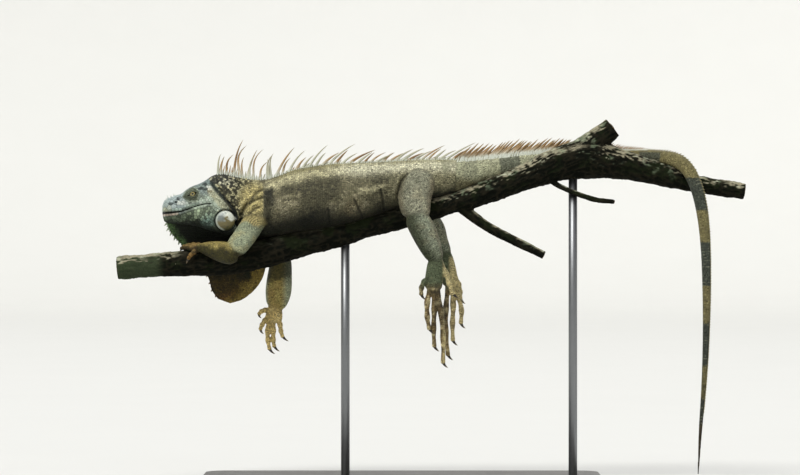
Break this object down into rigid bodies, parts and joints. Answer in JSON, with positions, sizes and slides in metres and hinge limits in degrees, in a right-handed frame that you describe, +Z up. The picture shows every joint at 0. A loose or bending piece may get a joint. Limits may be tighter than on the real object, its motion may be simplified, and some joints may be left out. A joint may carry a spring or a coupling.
{
  "type": "green iguana",
  "caption": "Life-size still model of an adult male green iguana lying along a cut branch, legs and banded tail hanging, on a plain stand.",
  "frame": {"origin": "centre of the stand base's underside, on the floor", "axes": "+Z up; the animal faces -X and its left side faces -Y"},
  "size_m": [0.9429, 0.24, 0.5438],
  "materials": {
    "skin": "dry scaly skin, olive grey-tan flanks, pale blue-grey head, dark bands on the tail, low sheen",
    "spine": "leathery crest spines, pale at the root, orange-brown above",
    "plate": "smooth large round scale below the ear, chalky white above and tan below",
    "claw": "dark horn, slightly glossy",
    "eye": "wet eyeball, orange-brown iris and dark pupil",
    "bark": "dark rough bark with pale lichen and some moss",
    "stand": "painted satin black wood",
    "rod": "satin steel rod"
  },
  "bodies": {
    "root": {"stand_base": "stand", "stand_rod_fore": "rod", "stand_rod_rear": "rod", "perch_branch": "bark", "perch_fork": "bark", "perch_side_branch": "bark", "perch_twig": "bark", "head": "skin", "dewlap": "skin", "eye_left": "eye", "eye_right": "eye", "neck": "skin", "torso_front": "skin", "torso_rear": "skin", "tail_1": "skin", "tail_2": "skin", "tail_3": "skin", "tail_4": "skin", "tail_5": "skin", "tail_6": "skin", "left_upper_arm": "skin", "left_forearm": "skin", "left_hand": "skin", "left_thigh": "skin", "left_shank": "skin", "left_foot": "skin", "right_upper_arm": "skin", "right_forearm": "skin", "right_hand": "skin", "right_thigh": "skin", "right_shank": "skin", "right_foot": "skin"}
  },
  "joints": []
}
